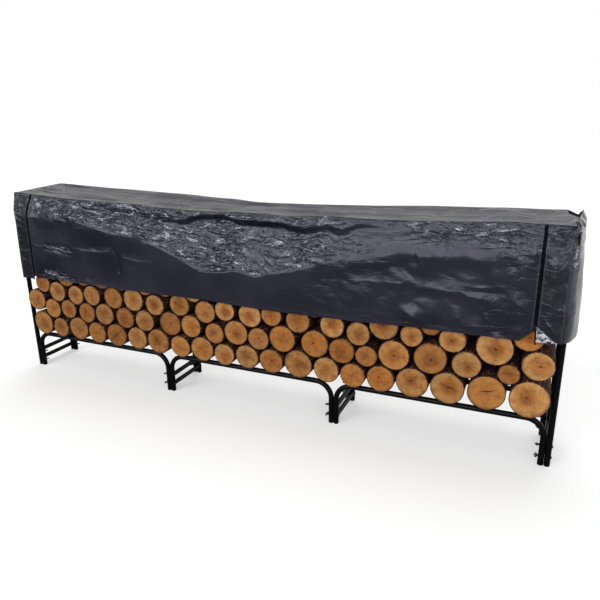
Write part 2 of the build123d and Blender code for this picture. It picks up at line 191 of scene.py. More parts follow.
class Effect(Nodes):
    """A node group that materials share. Its outputs are all values."""

    def __init__(self, name, inputs, outputs):
        super().__init__(bpy.data.node_groups.new(name, "ShaderNodeTree"))
        for label, kind in inputs.items():
            self.tree.interface.new_socket(label, in_out="INPUT", socket_type=f"NodeSocket{kind}")
        for label in outputs:
            self.tree.interface.new_socket(label, in_out="OUTPUT", socket_type="NodeSocketFloat")
        self.given = self.tree.nodes.new("NodeGroupInput").outputs
        self.end = self.tree.nodes.new("NodeGroupOutput").inputs

    def results(self, *values):
        """Link the outputs in their order, and return the group."""
        for socket, value in zip(self.end, values):
            self.feed(socket, value)
        return self.tree


class Finish(Nodes):
    """A material with one Principled shader."""

    def __init__(self, name, **constants):
        self.material = bpy.data.materials.new(name)
        self.material.use_nodes = True
        super().__init__(self.material.node_tree)
        self.shader = self.tree.nodes["Principled BSDF"].inputs
        for label, value in constants.items():
            self.feed(self.shader[label.replace("_", " ")], value)

    def place(self, kind="Object"):
        """The place on the surface."""
        return self.add("TexCoord")[kind]

    def stored(self, name, output="Fac"):
        """A value stored on the mesh."""
        return self.add("Attribute", attribute_name=name)[output]

    def surface(self, colour, roughness, height, strength, distance):
        """Set the colour, the roughness and the bump, and return the material."""
        bump = self.add("Bump", {"Height": height, "Strength": strength, "Distance": distance})["Normal"]
        for label, value in {"Base Color": colour, "Roughness": roughness, "Normal": bump}.items():
            self.feed(self.shader[label], value)
        return self.material

    def two_tone(self, mask, dark, pale, rough, *bump):
        """A surface between two colours and two roughnesses, by a mask. Returns the material."""
        return self.surface(self.mix(mask, dark, pale), self.remap(mask, 0, 1, *rough), *bump)


# ---- shared effects ----


def sprayed_powder():
    """The fine ripple of sprayed powder, and faint scuffs in it."""
    effect = Effect("orange peel", {"Vector": "Vector"}, ["Height", "Scuff"])
    vector = effect.given["Vector"]
    scuff = effect.noise(effect.scaled(vector, (30, 30, 6)), 3, 6, 0.7)
    return effect.results(effect.noise(vector, 420, 2), effect.remap(scuff, 0.55, 0.75))


def crumpled_cloth():
    """Coated cloth that has been packed flat: sharp creases between small flat facets, over a weave."""
    effect = Effect("crumpled cloth", {"Vector": "Vector", "Amount": "Float"}, ["Height", "Crease", "Patch"])
    vector, amount = effect.given["Vector"], effect.given["Amount"]
    bent = effect.drifted(vector, 5.0, (0.08, 0.08, 0.08))
    large, _ = effect.facets(bent, 8, 2.4)
    small, small_edge = effect.facets(bent, 19, 2.0, (3.1, 1.7, 0))
    streaks = effect.ridges(effect.scaled(bent, (1.0, 4.0, 1.0)), 6)
    wrinkles = effect.ridges(effect.scaled(bent, (1.0, 1.5, 1.0), (5.3, 2.9, 0)), 19)
    soft = effect.noise(vector, 2.6, 4)
    weave = effect.noise(vector, 700, 1)

    folds = effect.times(large, 9)
    for part, share in ((small, 5), (streaks, 0.36), (wrinkles, 0.13)):
        folds = effect.times_plus(part, share, folds)
    folds = effect.times(folds, effect.times(amount, effect.remap(amount, 0.1, 0.4, 0.5, 1.0)))
    height = effect.times_plus(weave, 0.004, effect.times_plus(soft, 0.25, folds))

    # Pale paint along the creases, in patches, and all over where the cloth is crinkled small: mostly painted
    # highlight for the glints on the folds, partly the coat whitened where it is folded.
    pale_patches = effect.remap(effect.noise(effect.scaled(vector, (1.0, 2.0, 1.0)), 16, 4), 0.40, 0.60)
    glints = effect.noise(effect.scaled(vector, (1.0, 1.8, 1.0)), 70, 3, 0.6)
    glints = effect.remap(glints, 0.42, 0.56, 0.10, 1.0)
    crease = effect.times(effect.remap(streaks, 1.1, 1.7), effect.times(pale_patches, glints))
    crease = effect.larger(crease, effect.times(effect.remap(small_edge, 0.03, 0.0), 0.25))
    crease = effect.times(crease, effect.remap(amount, 0.3, 0.8))
    crinkles = effect.remap(effect.noise(bent, 50, 4, 0.6), 0.42, 0.56)
    crinkles = effect.times(crinkles, effect.remap(amount, 0.88, 1.0))
    return effect.results(height, effect.larger(crease, crinkles), soft)


def stitched_hem():
    """A hem's fold and its row of stitches, from the distance to the sewn edge and the way along it."""
    effect = Effect("stitched hem", {"Edge": "Float", "Along": "Float"}, ["Height", "Thread"])
    edge, stitch_line = effect.given["Edge"], 0.019
    fold = effect.remap(edge, 0.024, 0.026, 1.0, 0.0)
    line = effect.maths("COMPARE", edge, stitch_line, 0.0011)
    stitches = effect.maths("GREATER_THAN", effect.fraction(effect.given["Along"], 160), 0.3)
    thread = effect.times(line, stitches)
    pucker = effect.times(effect.remap(edge, 0.012, stitch_line), effect.remap(edge, 0.026, stitch_line))
    return effect.results(effect.times_plus(pucker, -0.6, effect.maths("ADD", fold, thread)), thread)


def log_end():
    """The sawn end of a log, from its place across the end (-1 to 1) and a number of its own."""
    outputs = ["Radius", "Ring", "Crack", "Heart", "Pith", "Saw"]
    effect = Effect("growth rings", {"Across": "Vector", "Log": "Float"}, outputs)
    across, log = effect.given["Across"], effect.given["Log"]
    own_place = effect.add("CombineXYZ", {"X": effect.times(log, 7.3), "Z": log})[0]
    seeded = effect.vectors("ADD", across, own_place)
    pith_x, pith_y = (effect.times(effect.maths("SINE", effect.times(log, by)), 0.13) for by in (12.9, 31.7))
    centred = effect.vectors("SUBTRACT", across, effect.add("CombineXYZ", {"X": pith_x, "Y": pith_y})[0])
    length = effect.vectors("LENGTH", centred, output="Value")

    wobble = effect.minus(effect.noise(seeded, 1.6, 3, 0.55), 0.5)
    radius = effect.times_plus(wobble, 0.28, length)
    count = effect.times_plus(effect.fraction(log, 5.1), 7.0, 11.0)
    phase = effect.fraction(effect.maths("POWER", radius, 0.85), count)
    ring = effect.remap(effect.maths("ABSOLUTE", effect.minus(phase, 0.8)), 0.32, 0.0)

    # Cracks that spread from the pith, as far as each log's reach.
    split = effect.add("SeparateXYZ", {0: centred})
    angle = effect.maths("ARCTAN2", split["Y"], split["X"])
    wander = effect.times_plus(effect.noise(seeded, 5, 2), 0.5, angle)
    turn_of_log = effect.times_plus(wander, 0.62, effect.times(log, 41.0))
    spokes = effect.cell_edges({"W": turn_of_log, "Scale": 1.0}, voronoi_dimensions="1D")
    width = effect.maths("DIVIDE", 0.009, effect.maths("ADD", length, 0.12))
    reach = effect.times_plus(effect.fraction(log, 9.7), 2.0, -1.35)
    inside = effect.remap(effect.minus(reach, length), 0.0, 0.15)
    star = effect.times(effect.maths("LESS_THAN", spokes, width), inside)

    # One long straight crack through the pith of some logs, narrowing to its ends.
    turn = effect.times(log, 5.0)
    line = effect.add("SeparateXYZ", {0: effect.turned(centred, turn)})
    bent = effect.times_plus(effect.minus(effect.noise(seeded, 4, 2), 0.5), 0.16, line["X"])
    long = effect.times_plus(effect.fraction(log, 4.3), 3.6, -2.6)
    width = effect.remap(effect.minus(long, effect.maths("ABSOLUTE", line["Y"])), 0.0, 0.6, 0.0, 0.022)
    straight = effect.maths("LESS_THAN", effect.maths("ABSOLUTE", bent), width)

    heart = effect.remap(radius, 0.60, 0.15)
    spotted = effect.remap(effect.fraction(log, 23.1), 0.25, 0.35)
    pith = effect.times(effect.remap(length, 0.10, 0.04), spotted)
    saw = effect.noise(effect.scaled(effect.turned(seeded, turn), (26, 1.2, 1)), 1.0, 4, 0.65)
    return effect.results(radius, ring, effect.larger(star, straight), heart, pith, saw)


orange_peel = sprayed_powder()
crumple = crumpled_cloth()
stitching = stitched_hem()
growth_rings = log_end()

# ---- materials ----


def powder_coat():
    """Satin black powder coat on the steel tubes."""
    finish = Finish("black powder coat", Specular_IOR_Level=0.12)
    peel = finish.use(orange_peel, Vector=finish.place())
    dark, scuffed = (0.0015, 0.0016, 0.0017), (0.005, 0.005, 0.0055)
    return finish.two_tone(peel["Scuff"], dark, scuffed, (0.3, 0.45), peel["Height"], 0.12, 0.0004)


def black_hardware():
    """Blackened bolts and wing nuts, worn a little bright."""
    finish = Finish("black zinc", Metallic=0.85)
    peel = finish.use(orange_peel, Vector=finish.place())
    dark, pale_patches = (0.03, 0.03, 0.032), (0.16, 0.155, 0.15)
    return finish.two_tone(peel["Scuff"], dark, pale_patches, (0.42, 0.3), peel["Height"], 0.1, 0.0002)


def moulded_plastic():
    """Black moulded foot caps, dusty in places."""
    finish = Finish("black moulded plastic")
    vector = finish.place()
    dust = finish.remap(finish.noise(vector, 60, 4), 0.5, 0.8)
    black, dusty = (0.012, 0.012, 0.012), (0.035, 0.033, 0.03)
    return finish.two_tone(dust, black, dusty, (0.5, 0.7), finish.noise(vector, 900, 1), 0.2, 0.0002)


def zip_cloth():
    """Black woven zip tape."""
    finish = Finish("black zip tape", Specular_IOR_Level=0.04)
    rib = finish.noise(finish.scaled(finish.place(), (300, 300, 1500)), 1.0, 1)
    return finish.two_tone(rib, (0.001, 0.001, 0.0011), (0.003, 0.003, 0.0033), (0.7, 0.9), rib, 0.4, 0.0004)


def zip_coil():
    """Black nylon zip teeth."""
    finish = Finish("black zip teeth", Specular_IOR_Level=0.12)
    tone = finish.noise(finish.place(), 250, 2)
    dark, pale = (0.0015, 0.0015, 0.0017), (0.004, 0.004, 0.0045)
    return finish.two_tone(tone, dark, pale, (0.3, 0.45), tone, 0.1, 0.0002)


def tarpaulin():
    """Slate grey coated cover cloth with creases, a soft sheen, highlights painted pale along its creases,
    and stitched hems.
    """
    finish = Finish("slate tarpaulin", IOR=1.5, Specular_Tint=(0.86, 0.85, 1.0))
    flat, crumpled = finish.place("UV"), finish.stored("crumple")
    cloth = finish.use(crumple, Vector=flat, Amount=crumpled)
    along = finish.add("SeparateXYZ", {0: flat})
    along = finish.maths("ADD", along["X"], along["Y"])
    hem = finish.use(stitching, Edge=finish.stored("edge"), Along=along)
    patch = finish.remap(cloth["Patch"], 0.35, 0.65)
    colour = finish.mix(patch, (0.005, 0.005, 0.010), (0.011, 0.0105, 0.019))
    # Pale paint along the creases and crinkles: painted highlight.
    colour = finish.mix(finish.times(cloth["Crease"], 0.8), colour, (0.55, 0.55, 0.62))
    colour = finish.mix(hem["Thread"], colour, (0.022, 0.022, 0.027))
    rough = finish.remap(cloth["Patch"], 0.3, 0.7, 0.28, 0.36)
    rough = finish.minus(rough, finish.remap(crumpled, 0, 0.8, 0.0, 0.19))
    height = finish.times_plus(hem["Height"], 0.012, cloth["Height"])
    return finish.surface(colour, rough, height, 1.0, 0.014)


def sawn_wood():
    """The sawn end of a log: heart, growth rings, pith, cracks and saw marks, in each log's own tone."""
    finish = Finish("sawn end grain", Specular_IOR_Level=0.15)
    log, across = finish.stored("log"), finish.stored("across", "Vector")
    grain = finish.use(growth_rings, Across=across, Log=log)
    radius, ring, crack, saw = (grain[name] for name in ("Radius", "Ring", "Crack", "Saw"))
    own_place = finish.add("CombineXYZ", {"X": log, "Y": finish.times(log, 3.1)})[0]
    seeded = finish.vectors("ADD", across, own_place)
    blotch = finish.noise(seeded, 2.4, 5, 0.62)
    fleck = finish.noise(seeded, 9.0, 4, 0.6)

    sap = finish.mix(finish.fraction(log, 3.7), (0.45, 0.175, 0.032), (0.58, 0.32, 0.115))
    inner = finish.mix(finish.fraction(log, 6.1), (0.40, 0.125, 0.018), (0.47, 0.20, 0.055))
    colour = finish.mix(finish.remap(radius, 0.2, 0.95), inner, sap)
    heart = finish.times(grain["Heart"], finish.remap(finish.fraction(log, 13.3), 0.3, 0.8))
    heart = finish.times(heart, finish.remap(fleck, 0.35, 0.55, 0.35, 1.0))
    rings = finish.times(ring, finish.remap(finish.fraction(log, 17.3), 0, 1, 0.35, 0.95, "LINEAR"))
    for mask, stain in (
        (finish.times(heart, 0.8), (0.22, 0.070, 0.018)),
        (rings, (0.26, 0.095, 0.024)),
        (finish.remap(blotch, 0.52, 0.70, 0, 0.65), (0.24, 0.085, 0.025)),
        (finish.remap(fleck, 0.55, 0.8, 0, 0.5), (0.27, 0.10, 0.035)),
        (finish.remap(radius, 0.86, 1.06, 0, 0.65), (0.20, 0.07, 0.025)),
        (finish.times(grain["Pith"], 0.85), (0.07, 0.022, 0.008)),
    ):
        colour = finish.mix(mask, colour, stain)

    # The wood is painted a little darker at the left end of the rack than at the right: painted shade. Each
    # log's own tone, its blotches and its saw marks also change it.
    along = finish.add("SeparateXYZ", {0: finish.place()})["X"]
    tone = finish.remap(along, -1.6, 1.6, 0.65, 0.83, "LINEAR")
    for change in (
        finish.remap(finish.fraction(log, 7.9), 0, 1, 0.80, 1.08, "LINEAR"),
        finish.remap(blotch, 0.3, 0.6, 1.14, 0.86),
        finish.remap(saw, 0.3, 0.7, 0.88, 1.10),
    ):
        tone = finish.times(tone, change)
    colour = finish.mix(1.0, colour, tone, "MULTIPLY")
    colour = finish.mix(crack, colour, (0.035, 0.012, 0.005))
    height = finish.times_plus(ring, 0.25, finish.times_plus(crack, -3.0, saw))
    return finish.surface(colour, finish.remap(saw, 0.2, 0.8, 0.6, 0.8), height, 0.5, 0.0012)


def bark():
    """Reddish brown bark with dark fissures along the log."""
    finish = Finish("bark", Specular_IOR_Level=0.08)
    own_place = finish.add("CombineXYZ", {"Y": finish.stored("log")})[0]
    seeded = finish.vectors("ADD", finish.place(), own_place)
    bent = finish.drifted(seeded, 20.0, (0.03, 0.06, 0.03))
    plates = finish.cell_edges({"Vector": finish.scaled(bent, (1, 0.20, 1)), "Scale": 55, "Detail": 2})
    grit = finish.noise(finish.scaled(seeded, (1, 0.5, 1)), 80, 6, 0.7)
    tone = finish.times(finish.remap(plates, 0.0, 0.22), finish.remap(grit, 0.3, 0.7))
    colour = finish.mix(tone, (0.028, 0.010, 0.006), (0.30, 0.165, 0.110))
    rough = finish.remap(grit, 0, 1, 0.75, 0.95)
    return finish.surface(colour, rough, finish.times_plus(plates, 0.8, grit), 0.8, 0.004)


def white_paper():
    """White paper, which the camera sees as white, with the rack's shadow on it."""
    finish = Finish("white paper", Roughness=0.9, Specular_IOR_Level=0.0, Emission_Color=(1, 1, 1))
    path = finish.add("LightPath")
    paper = finish.mix(finish.noise(finish.place(), 3, 2), (0.56, 0.56, 0.56), (0.58, 0.58, 0.58))
    # In the cover's reflections the paper is painted a darker grey in front, most at the left, and glows
    # behind the rack and to its right: painted shade and painted light, seen only in the sheen.
    place = finish.add("SeparateXYZ", {0: finish.place()})
    to_right = finish.larger(finish.times(finish.minus(place["X"], 1.3), 0.5), 0.0)
    behind = finish.remap(finish.maths("ADD", place["Y"], to_right), 0.3, 2.1)
    dim = finish.maths("SUBTRACT", finish.remap(place["X"], -1.7, -4.4, 0.5, 0.95), behind, clamp=True)
    colour = finish.mix(finish.times(path["Is Glossy Ray"], dim), paper, (0.0, 0.0, 0.0))
    glow = finish.times(finish.times(path["Is Glossy Ray"], behind), 0.40)
    glow = finish.times_plus(path["Is Camera Ray"], 0.385, glow)
    finish.feed(finish.shader["Base Color"], colour)
    finish.feed(finish.shader["Emission Strength"], glow)
    return finish.material


coat = powder_coat()
hardware = black_hardware()
plastic = moulded_plastic()
cover_cloth = tarpaulin()
tape_cloth = zip_cloth()
teeth = zip_coil()
wood = sawn_wood()
rough_bark = bark()

# ---- mesh helpers ----


def new_mesh_object(name, vertices, faces, materials, face_materials=None, values=None, vectors=None):
    """A smooth-shaded mesh object, with values and vectors stored on its vertices."""
    mesh = bpy.data.meshes.new(name)
    mesh.from_pydata(np.asarray(vertices, float).tolist(), [], np.asarray(faces).tolist())
    for material in materials:
        mesh.materials.append(material)
    if face_materials is not None:
        mesh.polygons.foreach_set("material_index", np.asarray(face_materials, np.int32))
    mesh.polygons.foreach_set("use_smooth", np.ones(len(mesh.polygons), bool))
    for given, kind, member in ((values, "FLOAT", "value"), (vectors, "FLOAT_VECTOR", "vector")):
        for label, data in (given or {}).items():
            layer = mesh.attributes.new(label, kind, "POINT")
            layer.data.foreach_set(member, np.asarray(data, np.float32).ravel())
    mesh.update()
    made = bpy.data.objects.new(name, mesh)
    bpy.context.scene.collection.objects.link(made)
    return made


def grid_faces(rows, columns, closed=False):
    """Quads of a grid of vertices, joined round along each row when closed."""
    i, j = np.meshgrid(np.arange(rows - 1), np.arange(columns if closed else columns - 1), indexing="ij")
    k = (j + 1) % columns
    row, next_row = i * columns, (i + 1) * columns
    return np.stack([row + j, row + k, next_row + k, next_row + j], -1).reshape(-1, 4)


def cloth_object(name, points, flat, amount, edge, flip=False):
    """A sheet of the cover from a grid of points, with its crumple and its distance to a sewn edge."""
    faces = grid_faces(*points.shape[:2])
    if flip:
        faces = faces[:, ::-1]
    values = {"crumple": amount, "edge": edge}
    made = new_mesh_object(name, points.reshape(-1, 3), faces, [cover_cloth], values=values)
    layer = made.data.uv_layers.new(name="flat")
    layer.data.foreach_set("uv", flat.reshape(-1, 2)[faces.ravel()].astype(np.float32).ravel())
    return made


def field(function, x, y, seed):
    """A function of a point, taken over arrays of x and y."""
    x, y = np.broadcast_arrays(x, y)
    points = np.stack([x.ravel(), y.ravel(), np.full(x.size, float(seed))], -1)
    return np.array([function(Vector(point)) for point in points.tolist()]).reshape(x.shape)


def smooth_noise(x, y, seed):
    """Smooth noise from about -1 to 1."""
    return field(lambda point: noise.fractal(point, 1.0, 2.0, 2), x, y, seed)


def sharp_folds(x, y, seed):
    """Noise with sharp ridges, from about 0 to 1."""
    return field(lambda point: noise.ridged_multi_fractal(point, 1.0, 2.0, 3, 1.0, 1.6), x, y, seed) / 2


def facets(x, y, seed):
    """Flat facets between sharp creases, 0 on a crease."""

    def from_crease(point):
        distances = noise.voronoi(point)[0]
        return distances[1] - distances[0]

    return field(from_crease, x, y, seed)


def step(value, low, high):
    """Smooth step from 0 at low to 1 at high."""
    t = np.clip((value - low) / (high - low), 0, 1)
    return t * t * (3 - 2 * t)


def bump_at(value, centre, width):
    """A smooth hump of height 1."""
    return np.exp(-(((value - centre) / width) ** 2))


def through(x, points):
    """A smooth curve through listed (x, value) points."""
    xs, values = np.array(points).T
    i = np.clip(np.searchsorted(xs, x) - 1, 0, len(xs) - 2)
    t = step(x, xs[i], xs[i + 1])
    return values[i] * (1 - t) + values[i + 1] * t


# ---- shape of the cover ----

# How far the top's edges and the hem stand above their plain lines, and the height of the tucked crease, at
# each x.
FRONT_EDGE_RISE = [
    (-1.84, 0.010), (-1.37, 0.004), (-1.04, 0.009), (-0.83, 0.011), (-0.58, 0.001), (-0.30, -0.002),
    (0.0, 0.007), (0.30, -0.001), (0.55, 0.008), (0.80, 0.000), (1.22, -0.001), (1.50, 0.002), (1.65, -0.006),
    (1.84, -0.018),
]
BACK_EDGE_RISE = [
    (-1.84, 0.032), (-1.43, 0.034), (-1.08, 0.036), (-0.74, 0.034), (-0.33, 0.022), (-0.07, 0.008),
    (0.19, 0.010), (0.66, 0.014), (1.03, 0.020), (1.42, 0.014), (1.76, 0.003), (1.84, -0.024),
]
HEM_RISE = [
    (-1.84, 0.024), (-1.34, 0.016), (-0.74, 0.007), (-0.29, 0.009), (0.23, -0.008), (0.69, -0.004),
    (1.16, 0.006), (1.84, 0.004),
]
CREASE = [
    (-1.2, 1.225), (-0.77, 1.213), (-0.61, 1.180), (-0.42, 1.166), (-0.27, 1.206), (-0.14, 1.212),
    (0.0, 1.182), (0.24, 1.182), (0.40, 1.160), (0.55, 1.186), (0.64, 1.166), (0.75, 1.210), (1.2, 1.225),
]
# Where the fold leaves the plain valley: x, width, and height.
FOLD_SHIFTS = [
    (-0.98, 0.14, -0.028), (-0.27, 0.10, -0.026), (0.0, 0.09, 0.028), (0.14, 0.06, -0.014),
    (1.15, 0.08, 0.010),
]


def valley(x):
    """How much of the stack's dip there is at x, from 0 to 1."""
    return np.exp(-((x / VALLEY_HALF_WIDTH) ** 2))


def fold_height(x):
    """Height of the fold where the front bends over the stack."""
    shifts = sum(rise * bump_at(x, place, width) for place, width, rise in FOLD_SHIFTS)
    return FOLD_Z - VALLEY_DEPTH * valley(x) + shifts


def sag(x):
    """How far the top hangs down between the end frames."""
    return TOP_SAG * np.clip(1 - (x / STACK_HALF) ** 2, 0, 1)


def front_edge_z(x):
    """Height of the cover's front top edge."""
    return COVER_TOP - sag(x) + through(x, FRONT_EDGE_RISE)


def back_edge_z(x):
    """Height of the cover's back top edge."""
    return COVER_TOP - sag(x) + through(x, BACK_EDGE_RISE)


def away_from_zips(x):
    """0 at each zip, so that its tape lies flat, and 1 elsewhere."""
    return step(np.abs(np.abs(x) - ZIP_X), 0.012, 0.07)


# Lines where the front is creased: x and z of both ends, how far it stands out, and how wide it is.
FRONT_FOLDS = [
    (-1.64, 0.956, -0.98, 0.963, 0.005, 0.010), (-0.93, 0.974, -0.90, 0.838, -0.004, 0.012),
    (-0.87, 0.937, -0.56, 0.917, 0.003, 0.014), (-1.59, 0.847, -1.55, 0.741, 0.006, 0.016),
    (0.53, 0.938, 0.64, 0.943, -0.004, 0.012), (0.72, 0.939, 1.02, 0.952, 0.005, 0.014),
    (0.65, 0.914, 0.65, 0.808, -0.004, 0.012), (0.96, 1.058, 1.02, 0.963, 0.005, 0.014),
    (1.07, 1.138, 1.12, 1.022, 0.006, 0.014), (1.00, 0.926, 1.03, 0.862, 0.006, 0.014),
    (1.08, 0.935, 1.24, 0.936, 0.005, 0.014), (1.24, 0.936, 1.41, 0.917, 0.005, 0.012),
    (1.20, 1.024, 1.29, 1.011, -0.004, 0.010), (1.21, 0.921, 1.22, 0.799, 0.006, 0.016),
    (1.23, 1.167, 1.23, 1.115, -0.003, 0.014), (1.34, 0.973, 1.51, 0.978, 0.006, 0.014),
    (1.51, 0.978, 1.54, 0.950, 0.005, 0.012), (1.35, 0.955, 1.53, 0.951, -0.004, 0.012),
    (1.53, 0.889, 1.62, 0.886, 0.005, 0.014), (1.30, 0.800, 1.36, 0.740, 0.006, 0.014),
    (1.42, 0.860, 1.47, 0.760, 0.006, 0.016), (1.05, 0.800, 1.12, 0.740, 0.005, 0.014),
    (1.71, 0.840, 1.76, 0.775, 0.009, 0.012), (1.70, 0.905, 1.79, 0.895, 0.003, 0.010),
]


def fold_lines(x, z):
    """Total height of the creases at a point. They wander a little, and fade here and there."""
    wander_x, wander_z = (0.012 * smooth_noise(x * 9.0, z * 9.0, seed) for seed in (15.0, 16.0))
    x, z = x + wander_x, z + wander_z
    fade = 0.35 + 0.8 * step(smooth_noise(x * 8.0, z * 8.0, 17.0), -0.4, 0.4)
    total = np.zeros_like(x)
    for x1, z1, x2, z2, height, width in FRONT_FOLDS:
        dx, dz = x2 - x1, z2 - z1
        share = np.clip(((x - x1) * dx + (z - z1) * dz) / (dx * dx + dz * dz), 0, 1)
        distance = np.hypot(x - x1 - share * dx, z - z1 - share * dz)
        total += height * fade * np.exp(-distance / width)
    return total


def front_crumple(x, z):
    """How crumpled the front is at a point: most in the band above the fold, and near the top left."""
    above = z - fold_height(x)
    band = step(above, -0.030, 0.002)
    spots = step(smooth_noise(x * 1.7, z * 2.6, 4.0), -0.45, 0.35)
    left = bump_at(x, -1.2, 0.5) * bump_at(z, 1.23, 0.07)
    left += 0.7 * bump_at(x, -1.6, 0.06) * bump_at(z, 1.25, 0.04)
    middle = band * bump_at(x, -0.45, 0.90)
    right = band * bump_at(x, 1.2, 0.5) * step(z, 1.2, 1.27)
    low_left = bump_at(x, -1.42, 0.12) * bump_at(z, 0.955, 0.026)
    low_left += bump_at(x, -1.48, 0.12) * bump_at(z, HEM_Z + 0.05, 0.04)
    hem = bump_at(z, HEM_Z + 0.03, 0.03) * step(smooth_noise(x * 2.0, z, 6.0), 0.0, 0.5)
    right_low = (1 - band) * step(x, 0.1, 0.6) * step(smooth_noise(x * 1.4, z * 2.2, 5.0), -0.5, 0.5)
    total = 0.06 + 0.45 * band * spots + 0.6 * middle + 0.5 * (left + right)
    total += 0.7 * low_left + 0.20 * right_low + 0.25 * hem
    crease = bump_at(x, -0.05, 0.72) * bump_at(z, through(x, CREASE) + 0.02, 0.03)
    return np.clip(total * (1 - 0.85 * crease), 0, MOST_CRUMPLED)


def front_y(x, z):
    """Depth of the cover's front at x and z."""
    top = front_edge_z(x)
    bend_z = fold_height(x)
    bend_y = FOLD_Y - FOLD_BULGE * valley(x)

    # Two straight slopes, above and below the fold, with a round between them.
    above = (TOP_EDGE_Y - bend_y) / (top - bend_z)
    below = (bend_y - HEM_Y) / (bend_z - HEM_Z)
    round_width = 0.012
    over_bend = z - bend_z
    y = bend_y + below * over_bend + (above - below) * round_width * np.logaddexp(0, over_bend / round_width)

    # The tucked crease in the middle, and the roll of cloth above it.
    edge = step(top - z, 0.0, 0.05)
    free = away_from_zips(x) * edge * step(z - HEM_Z, 0.0, 0.06)
    middle = bump_at(x, -0.05, 0.72)
    crease_z = through(x, CREASE)
    tucked = np.clip(over_bend / np.clip(crease_z - bend_z, 0.03, None), 0, 1)
    tucked *= 1 - step(z, crease_z, crease_z + 0.050)
    y += 0.050 * middle * tucked * edge
    y -= 0.010 * middle * bump_at(z, crease_z + 0.062, 0.022) * edge

    # Folds and facets where it is crumpled, soft waves where it isn't, and rumples at the lower right.
    crumpled = front_crumple(x, z)
    slanted = x * 2.2 - z * 1.1
    y -= 0.0090 * free * crumpled * (sharp_folds(slanted, z * 5.0, 1.3) - 0.5)
    y -= 0.0120 * free * crumpled * (facets(x * 6.0, z * 12.0 + x * 2.0, 2.1) - 0.35)
    y -= 0.0050 * free * crumpled * (facets(x * 19.0 + z * 6.0, z * 27.0, 2.9) - 0.3)
    y -= 0.0050 * free * (1 - crumpled) * smooth_noise(x * 2.0, z * 1.4, 5.5)
    lower = step(bend_z - z, 0.0, 0.08)
    y -= 0.0060 * free * lower * (facets(x * 2.3, z * 3.1, 8.4) - 0.3)
    rumpled = step(x, 0.2, 1.1)
    y -= 0.0120 * free * lower * rumpled * (0.7 + smooth_noise(x * 6.0 + z * 2.0, z * 8.0, 7.7))
    y -= 0.0075 * free * lower * rumpled * facets(x * 6.0 + z * 1.5, z * 8.0, 7.1)
    y -= free * fold_lines(x, z)
    y -= 0.0040 * step(HEM_Z + 0.12 - z, 0, 0.12) * away_from_zips(x) * smooth_noise(x * 3.0, z * 0, 9.1)

    # The welt of the seam at the top edge, and the pinch at its right end.
    y -= 0.0035 * bump_at(top - z, 0.008, 0.007) * away_from_zips(x)
    y += 0.016 * bump_at(x, 1.800, 0.009) * step(top - z, 0.03, 0.0)
    return y


def sewn(distance):
    """The edge value along a seam, which puts a row of stitches on each side of it."""
    return 0.016 + np.abs(distance)


def arc_lengths(points):
    """Running length down each column of a grid of points."""
    steps = np.linalg.norm(np.diff(points, axis=0), axis=-1)
    return np.vstack([np.zeros(points.shape[1]), np.cumsum(steps, axis=0)])


def turn_corner(points, start, end, radius, angle, outward):
    """Curl the part of a sheet beyond the line from start to end (x, z) about that line.

    outward is -1 to curl it towards the front and 1 to turn it in behind."""
    start, end = np.array(start), np.array(end)
    along = (end - start) / np.linalg.norm(end - start)
    normal = np.array([along[1], -along[0]])
    corner = np.array([start[0], end[1]])
    if (corner - start) @ normal < 0:
        normal = -normal
    plane = points[..., [0, 2]]
    beyond = (plane - start) @ normal
    arc = np.clip(beyond / radius, 0, angle)
    rest = np.clip(beyond - radius * angle, 0, None)
    advance = radius * np.sin(arc) + rest * math.cos(angle)
    depth = radius * (1 - np.cos(arc)) + rest * math.sin(angle)
    moved = plane + np.where(beyond > 0, advance - beyond, 0)[..., None] * normal
    turned = points.copy()
    turned[..., 0] = moved[..., 0]
    turned[..., 2] = moved[..., 1]
    turned[..., 1] += outward * np.where(beyond > 0, depth, 0)
    return turned


def turn_flap_corners(points):
    """Turn in the flap's two bottom corners below the zip sliders, where the zips are open."""
    for side, width in ((-1, 0.034), (1, 0.082)):
        start = (side * ZIP_X, HEM_Z + OPEN_ZIP[side] - 0.012)
        end = (side * (ZIP_X - width), HEM_Z)
        points = turn_corner(points, start, end, 0.008, 2.5, 1)
    return points


def turn_strip_corner(points, side):
    """Curl out the loose corner of the right end panel's front strip, below the slider."""
    if side < 0:
        return points
    start = (ZIP_X, HEM_Z + LOOSE_CORNER[1])
    end = (ZIP_X + LOOSE_CORNER[0], HEM_Z)
    return turn_corner(points, start, end, 0.012, 0.45, -1)


# ---- cover: front flap ----


def make_flap():
    """The front flap, between the zips."""
    columns, rows = 640, 118
    x = np.linspace(-ZIP_X + 0.0002, ZIP_X - 0.0002, columns)[None, :].repeat(rows, 0)
    share = np.linspace(0, 1, rows)[:, None]
    z = front_edge_z(x) * (1 - share) + HEM_Z * share + through(x, HEM_RISE) * share**2
    points = np.stack([x, front_y(x, z), z], -1)
    down = arc_lengths(points)
    edge = np.minimum(down[-1] - down, sewn(ZIP_X - np.abs(x) - STITCHES_FROM_ZIP))
    edge = np.minimum(edge, sewn(down - 0.008))
    flat = np.stack([x, down], -1)
    flap = cloth_object("cover_front", turn_flap_corners(points), flat, front_crumple(x, z), edge)
    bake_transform(flap)
    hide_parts("cover_front_panel")


# ---- cover: top and back ----

# The top's right edge: x at each y.
RIGHT_EDGE = [(-0.174, 1.806), (-0.10, 1.816), (0.0, 1.812), (0.10, 1.790), (0.20, 1.776), (0.262, 1.772)]


